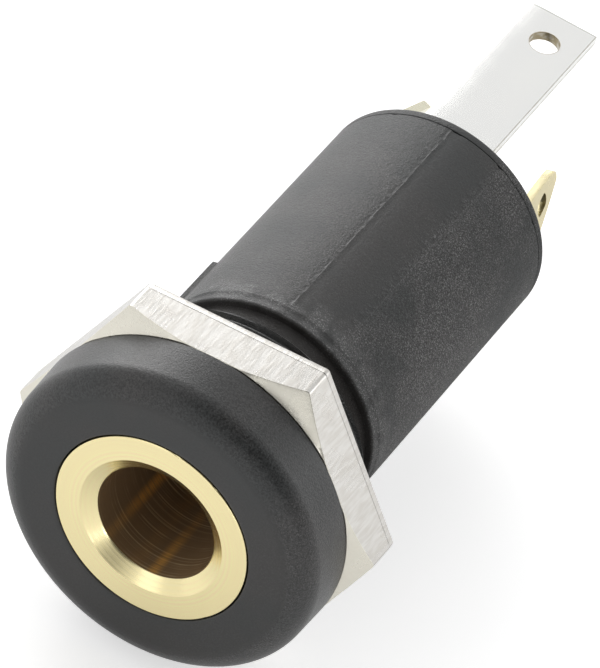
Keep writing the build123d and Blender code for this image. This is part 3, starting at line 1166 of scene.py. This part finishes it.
@dataclass
class HexNut:
    """The nut: chamfered on the bezel's side, with sheared flats and a fine thread."""

    thread: Thread
    flat_radius: float = 4.895
    front: float = NUT_FRONT
    thickness: float = 1.56
    chamfer_start: float = NUT_CHAMFER_START
    corner: float = 86.1
    edge_radius: float = 0.13
    bore_mouth: float = 4.24
    rear_rings: tuple[Point, ...] = (
        (0.0, 0.265), (0.015, 0.245), (0.016, 0.232), (0.003, 0.215),
        (0.012, 0.05), (0.030, 0.008), (0.055, 0.0),
    )
    per_sector: int = 60

    @property
    def rear(self) -> float:
        """The rear face's place along the axis."""
        return self.front + self.thickness

    def outline(self, away: float) -> float:
        """Returns the hexagon's radius at an angle from a flat's middle, corners rounded."""
        off_corner = math.radians(30.0 - abs(away))
        reach = (self.flat_radius - self.edge_radius) / math.cos(math.radians(30.0))
        if reach * math.sin(off_corner) < self.edge_radius / 2:
            side = reach * math.sin(off_corner)
            return reach * math.cos(off_corner) + math.sqrt(self.edge_radius**2 - side**2)
        return self.flat_radius / math.cos(math.radians(away))

    def spread(self, angle: float) -> tuple[float, float]:
        """Crowds the columns towards the corners.

        Args:
            angle: An evenly spaced angle.

        Returns:
            The new angle, and how far it is from its flat's middle.
        """
        sector = round(angle / 60.0)
        share = (angle - 60.0 * sector) / 30.0
        away = math.copysign(30.0 * (1.0 - (1.0 - abs(share)) ** 2), share)
        return self.corner - 30.0 + 60.0 * sector + away, away

    def build(self, material: bpy.types.Material) -> bpy.types.Object:
        """Builds and dresses the nut."""
        count = len(self.rings(self.flat_radius))
        profile = [(self.bore_mouth, self.front)]
        profile += [(4.6 + 0.01 * k, self.front + 0.1 * k) for k in range(count)]
        profile += [(self.bore_mouth, self.rear)]
        profile += run((3.9, self.rear - 0.02), (3.9, self.front + 0.02), 40)
        mesh, ring = lathe(profile, 6 * self.per_sector)
        reshape(mesh, ring, self.shape)
        return publish(mesh, "hex_nut_plated", material, Body.NUT, "hex_nut", 24.0)

    def rings(self, side: float) -> list[Point]:
        """Lists the (radius, y) of each ring round the outside where the side is at a radius."""
        cone = self.cone(side)
        return [
            (min(side - 0.03, self.chamfer_start - 0.02), self.front),
            (min(side - 0.012, self.chamfer_start), self.front + 0.003),
            (side - 0.010, cone - 0.006),
            (side, cone + 0.010),
        ] + [(side - inset, self.rear - before) for inset, before in self.rear_rings]

    def cone(self, radius: float) -> float:
        """Returns where the chamfer's cone meets the side at a radius."""
        rise = max(radius - self.chamfer_start, 0.0) * NUT_CHAMFER
        return self.front + 0.012 + rise

    def shape(self, ring: int, radius: float, y: float, angle: float) -> Triple:
        """Gives a turned point its place on the hexagon or the thread."""
        angle, away = self.spread(angle)
        rings = self.rings(self.outline(away))
        if 1 <= ring <= len(rings):
            return *rings[ring - 1], angle
        if ring in (0, len(rings) + 1):
            return radius, y, angle
        lead_in = self.bore_mouth - min(y - self.front, self.rear - y)
        return max(self.thread.radius(y, angle) + self.thread.clearance, lead_in), y, angle


@dataclass
class EarthTag:
    """The silver strip, bent from its ring round the bush and run out of the rear."""

    width: float = TAG_WIDTH
    thickness: float = TAG_THICKNESS
    middle: float = TAG_MIDDLE
    ring_middle: float = 3.10
    foot: float = 2.3
    ring_radius: float = 2.70
    ring_bore: float = 2.22
    reach: float = TAG_END
    bend: float = 0.32
    hole_radius: float = TAG_HOLE_RADIUS
    hole_inset: float = TAG_HOLE_INSET
    roll_width: float = 0.55
    roll_depth: float = 0.016
    roll_steps: int = 18
    plane_area: float = 0.03

    def build(self, material: bpy.types.Material) -> bpy.types.Object:
        """Builds and dresses the earth tag."""
        start, level = self.ring_middle, self.middle
        corners = [(start, self.foot), (start, level), (self.reach, level)]
        side = thickened(filleted(corners, [self.bend]), self.thickness)
        across = Matrix(((0, 0, 1, 0), (1, 0, 0, 0), (0, 1, 0, 0), (0, 0, 0, 1)))
        facing = self.facing(self.ring_middle)
        over_hole = Matrix.Translation((0.0, self.reach - self.hole_inset, self.middle))
        mesh = prism(side, self.width, across)
        ring = prism(circle(self.ring_radius, 120), self.thickness, facing)
        mesh = combined(mesh, ring, Cut.JOIN)
        for tool in (
            prism(circle(self.ring_bore, 120), 1.0, facing),
            prism(circle(self.hole_radius, 64), 1.0, over_hole),
            self.roll(),
        ):
            mesh = combined(mesh, tool, Cut.TAKE_AWAY)
        soften(mesh, 0.02)
        socket, slot, node = Body.SOCKET, Slot.SILVER, "sleeve_lug"
        return publish(mesh, "earth_tag_stamped", material, socket, node, 24.0, self.plane)

    def plane(self, face: bmesh.types.BMFace) -> bool:
        """Tells the strip's faces from its bend and its small roundings."""
        level = min(abs(face.normal.y), abs(face.normal.z)) < 1e-3
        return face.calc_area() > self.plane_area and level

    def roll(self) -> bmesh.types.BMesh:
        """Returns what the shears' roll-over takes off the strip's left edge."""
        left, top = -self.width / 2, self.middle + self.thickness / 2
        outline = []
        for k in range(self.roll_steps + 1):
            share = k / self.roll_steps
            height = top - self.roll_depth * share * share
            outline.append((left + self.roll_width * (1 - share), height))
        outline += [(left - 0.1, top - self.roll_depth * 1.2), (left - 0.1, top + 0.1)]
        outline += [(left + self.roll_width, top + 0.1)]
        start, end = self.ring_middle + 0.7, self.reach + 0.5
        place = Matrix(((1, 0, 0, 0), (0, 0, 1, (start + end) / 2), (0, 1, 0, 0), (0, 0, 0, 1)))
        return prism(outline[::-1], end - start, place)

    def facing(self, y: float) -> Matrix:
        """Returns the place of an outline that lies across the axis at y."""
        return Matrix.Translation((0.0, y, 0.0)) @ Matrix.Rotation(math.radians(90.0), 4, "X")


@dataclass
class ContactSpring:
    """A gold strip in its keyway, bowed in to the plug, with a tapered solder tag."""

    name: str
    stands_for: str
    side: int
    path: Sequence[Point]
    radii: Sequence[float]
    front: float
    shoulder: float
    finger: Sequence[Point] = ()
    finger_radii: Sequence[float] = ()
    thickness: float = 0.28
    width: float = SPRING_WIDTH
    finger_width: float = 0.9
    angle: float = SPRING_ANGLE
    barrel_end: float = BARREL_END
    tag_rise: float = 2.9207
    tip_radius: float = 0.17
    bulge: float = 0.05
    eyelet_y: float = 15.432
    eyelet_radius: float = 0.2
    eyelet_half_length: float = 0.23
    block_height: float = 8.0
    plane_area: float = 0.4

    def outline(self) -> list[Point]:
        """Lists the strip's outline seen flat, with the tag's taper and round tip."""
        half, finger = self.width / 2, self.finger_width / 2
        tag_end = self.barrel_end + self.tag_rise
        taper_end = tag_end - self.tip_radius
        right = [(finger, self.front), (half, self.shoulder), (half, self.barrel_end)]
        steps = 8
        for k in range(1, steps):
            share = k / steps
            x = half + (self.tip_radius - half) * share + 4 * self.bulge * share * (1 - share)
            right.append((x, self.barrel_end + (taper_end - self.barrel_end) * share))
        left = [(-x, y) for x, y in right[::-1]]
        tip = arc((0.0, taper_end), (self.tip_radius, self.tip_radius), 0, 180, 14)
        return right + tip + left

    def build(self, material: bpy.types.Material) -> bpy.types.Object:
        """Builds and dresses the spring."""
        turn = math.radians(self.side * self.angle)
        outward = Vector((math.sin(turn), 0.0, math.cos(turn)))
        along = Vector((0.0, 1.0, 0.0))
        edge_on = Matrix((outward, along, outward.cross(along))).transposed().to_4x4()
        flat = Matrix((along.cross(outward), along, outward)).transposed().to_4x4()
        strip = thickened(filleted(self.path, self.radii), self.thickness)
        mesh = prism(strip, self.width, edge_on)
        block = flat @ Matrix.Translation((0.0, 0.0, self.block_height / 2))
        outline = prism(self.outline(), self.block_height, block)
        mesh = combined(mesh, outline, Cut.KEEP_COMMON)
        mesh = combined(mesh, prism(self.eyelet(), self.block_height, block), Cut.TAKE_AWAY)
        if self.finger:
            arm = thickened(filleted(self.finger, self.finger_radii), self.thickness)
            mesh = combined(mesh, prism(arm, self.finger_width, edge_on), Cut.JOIN)
        soften(mesh, 0.03)
        socket, slot = Body.SOCKET, Slot.SPRING
        return publish(mesh, self.name, material, socket, self.stands_for, 24.0, self.plane)

    def eyelet(self) -> list[Point]:
        """Lists the outline of the tag's long hole."""
        centre, radii = (0.0, self.eyelet_y), (self.eyelet_radius, self.eyelet_radius)
        half = self.eyelet_half_length
        rear = [(x, y + half) for x, y in arc(centre, radii, 0, 180, 12)]
        return rear + [(x, y - half) for x, y in arc(centre, radii, 180, 360, 12)]

    def plane(self, face: bmesh.types.BMFace) -> bool:
        """Tells the strip's faces from its bends and its small roundings."""
        return face.calc_area() > self.plane_area


# ---- Studio


@dataclass(frozen=True)
class SoftBox:
    """A large soft lamp that points at the object."""

    name: str
    direction: Triple
    distance: float
    width: float
    height: float
    radiance: float
    aim: Triple = (0.0, 7.0, 0.0)

    def build(self) -> None:
        """Adds the lamp."""
        data = bpy.data.lights.new(self.name, "AREA")
        data.shape = "RECTANGLE"
        data.size = self.width * MM
        data.size_y = self.height * MM
        data.energy = self.radiance * math.pi * data.size * data.size_y
        lamp = bpy.data.objects.new(self.name, data)
        bpy.context.scene.collection.objects.link(lamp)
        towards = Vector(self.direction).normalized()
        lamp.location = Vector(self.aim) * MM + towards * self.distance * MM
        lamp.rotation_euler = towards.to_track_quat("Z", "Y").to_euler()
        lamp.visible_camera = False


@dataclass
class Studio:
    """Floor, surroundings, lamps and the photograph's camera."""

    floor_z: float = -5.08
    floor_size: float = 3000.0
    camera_place: Triple = (70.106, -198.054, 206.410)
    camera_forward: Triple = (-0.23590, 0.68531, -0.68899)
    camera_down: Triple = (0.46960, -0.54034, -0.69823)
    lens: float = 580.06
    surround: float = 0.86
    mirrored_share: float = 0.88
    dark_towards: Triple = (0.45, -0.50, 0.74)
    dark_edge: Point = (0.66, 0.86)
    dark_share: float = 0.95
    floor_tones: tuple[Colour, Colour] = ((0.89, 0.89, 0.89), (0.91, 0.91, 0.91))
    open_white: float = 0.55
    bounced_share: float = 0.6
    lamps: tuple[SoftBox, ...] = (
        SoftBox("left_box", (-0.65, 0.67, 0.36), 150.0, 96.0, 94.0, 3.5),
        SoftBox("front_box", (-0.38, -0.85, 0.36), 160.0, 56.0, 50.0, 0.55),
        SoftBox("right_box", (0.68, 0.685, 0.25), 150.0, 60.0, 60.0, 1.5),
        SoftBox("accent_box", (0.55, -0.82, 0.08), 150.0, 20.0, 20.0, 5.0),
    )

    def add_camera(self) -> None:
        """Puts the camera at the photograph's viewpoint."""
        data = bpy.data.cameras.new("photo_camera")
        data.sensor_width = 36.0
        data.lens = self.lens
        data.clip_start = 0.01
        data.clip_end = 20.0
        camera = bpy.data.objects.new("photo_camera", data)
        bpy.context.scene.collection.objects.link(camera)
        back = -Vector(self.camera_forward).normalized()
        right = (-Vector(self.camera_down)).cross(back).normalized()
        up = back.cross(right)
        turn = Matrix((right, up, back)).transposed().to_4x4()
        camera.matrix_world = Matrix.Translation(Vector(self.camera_place) * MM) @ turn
        bpy.context.scene.camera = camera

    def add_floor(self) -> None:
        """Adds the pale floor, which stays white and keeps the object's shadow."""
        mesh = bmesh.new()
        bmesh.ops.create_grid(mesh, x_segments=1, y_segments=1, size=self.floor_size / 2 * MM)
        bmesh.ops.translate(mesh, verts=mesh.verts, vec=(0.0, 0.0, self.floor_z * MM))
        data = bpy.data.meshes.new("floor")
        mesh.to_mesh(data)
        mesh.free()
        material, graph, place = new_material("pale_floor")
        cloud = graph.step(graph.noise(place, 40.0), 0.3, 0.7)
        matt = graph.node("BsdfDiffuse", {"Color": graph.mix(cloud, *self.floor_tones)})
        seen_by_camera, mirrored = self.rays(graph)
        seen = graph.larger(seen_by_camera, graph.times(mirrored, self.bounced_share))
        strength = graph.times(seen, self.open_white)
        glow = graph.node("Emission", {"Color": WHITE, "Strength": strength})
        shader = graph.node("AddShader", {0: matt.outputs[0], 1: glow.outputs[0]})
        graph.node("OutputMaterial", {"Surface": shader.outputs[0]})
        data.materials.append(material)
        floor = bpy.data.objects.new("floor", data)
        bpy.context.scene.collection.objects.link(floor)
        floor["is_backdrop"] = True

    def rays(self, graph: Graph) -> tuple[Socket, Socket]:
        """Returns whether a ray comes from the camera, and whether from a mirror or glass."""
        ray = graph.node("LightPath", {}).outputs
        return ray["Is Camera Ray"], graph.larger(ray["Is Glossy Ray"], ray["Is Transmission Ray"])

    def add_surroundings(self) -> None:
        """Adds white surroundings with a dark part in front of the object and above it."""
        world = bpy.data.worlds.new("surroundings")
        world.use_nodes = True
        graph = Graph(world.node_tree)
        direction = graph.node("TexCoord", {}).outputs["Generated"]
        towards = tuple(Vector(self.dark_towards).normalized())
        facing = graph.vector("DOT_PRODUCT", direction, towards).outputs["Value"]
        openness = graph.step(facing, *self.dark_edge, 1.0, 1.0 - self.dark_share)
        seen_by_camera, mirrored = self.rays(graph)
        level = graph.larger(graph.times(mirrored, self.mirrored_share), self.surround)
        level = graph.larger(graph.times(level, openness), seen_by_camera)
        surface = graph.node("Background", {"Color": WHITE, "Strength": level})
        graph.node("OutputWorld", {"Surface": surface.outputs[0]})
        bpy.context.scene.world = world

    def build(self) -> None:
        """Sets up the whole studio."""
        self.add_camera()
        self.add_floor()
        self.add_surroundings()
        for lamp in self.lamps:
            lamp.build()
        bpy.context.scene.view_settings.view_transform = "Standard"


def main() -> None:
    """Builds every piece in order."""
    logging.basicConfig(level=logging.INFO, format="%(message)s")
    Studio().build()
    thread = Thread()
    Housing(thread).build(MouldedPlastic("black_plastic_parted", parting_line=True).material())
    RearCap().build(MouldedPlastic("black_plastic").material())
    ContactBush().build(TurnedGold("turned_gold").material())
    nickel = PlatedNut(
        "nickel_plate", (0.64, 0.627, 0.60), (0.565, 0.545, 0.51),
        smooth=0.24, rough=0.34, line_depth=0.0028, broad_depth=0.0040, pit_depth=0.0002,
    )
    HexNut(thread).build(nickel.material())
    silver = PunchedSilver(
        "silver_plate", (0.89, 0.89, 0.875), (0.86, 0.86, 0.84), smooth=0.14, rough=0.21
    )
    EarthTag().build(silver.material())
    gold = StampedMetal(
        "stamped_gold", (0.66, 0.575, 0.32), (0.62, 0.55, 0.33), smooth=0.20, rough=0.32
    ).material()
    # A paler copy of the gold for the ring spring: painted light, for the whitish reflection that
    # washes that tag out.
    painted_lit_gold = StampedMetal(
        "stamped_gold_painted_lit", (0.80, 0.77, 0.61), (0.76, 0.74, 0.60), smooth=0.20, rough=0.32
    ).material()
    ContactSpring(
        "tip_spring_strip", "tip_spring", 1,
        path=[(SPRING_MIDDLE, 5.37), *SPRING_TAG], radii=[0.5],
        front=5.37, shoulder=6.87,
        finger=[
            (SPRING_MIDDLE, 5.87), (SPRING_MIDDLE, 5.03), (2.15, 5.03),
            (1.28, 10.23), (1.78, 11.33),
        ],
        finger_radii=[0.34, 0.34, 0.5],
    ).build(gold)
    ContactSpring(
        "ring_spring_strip", "ring_spring", -1,
        path=[(2.22, 5.23), (1.72, 6.33), (SPRING_MIDDLE, 10.83), *SPRING_TAG],
        radii=[0.5, 0.5, 0.5], front=4.95, shoulder=10.83,
    ).build(painted_lit_gold)
    boxes = {"cad": CAD_BOX, "visual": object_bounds()}
    boxes = {name: [list(corner) for corner in box] for name, box in boxes.items()}


if __name__ == "__main__":
    main()
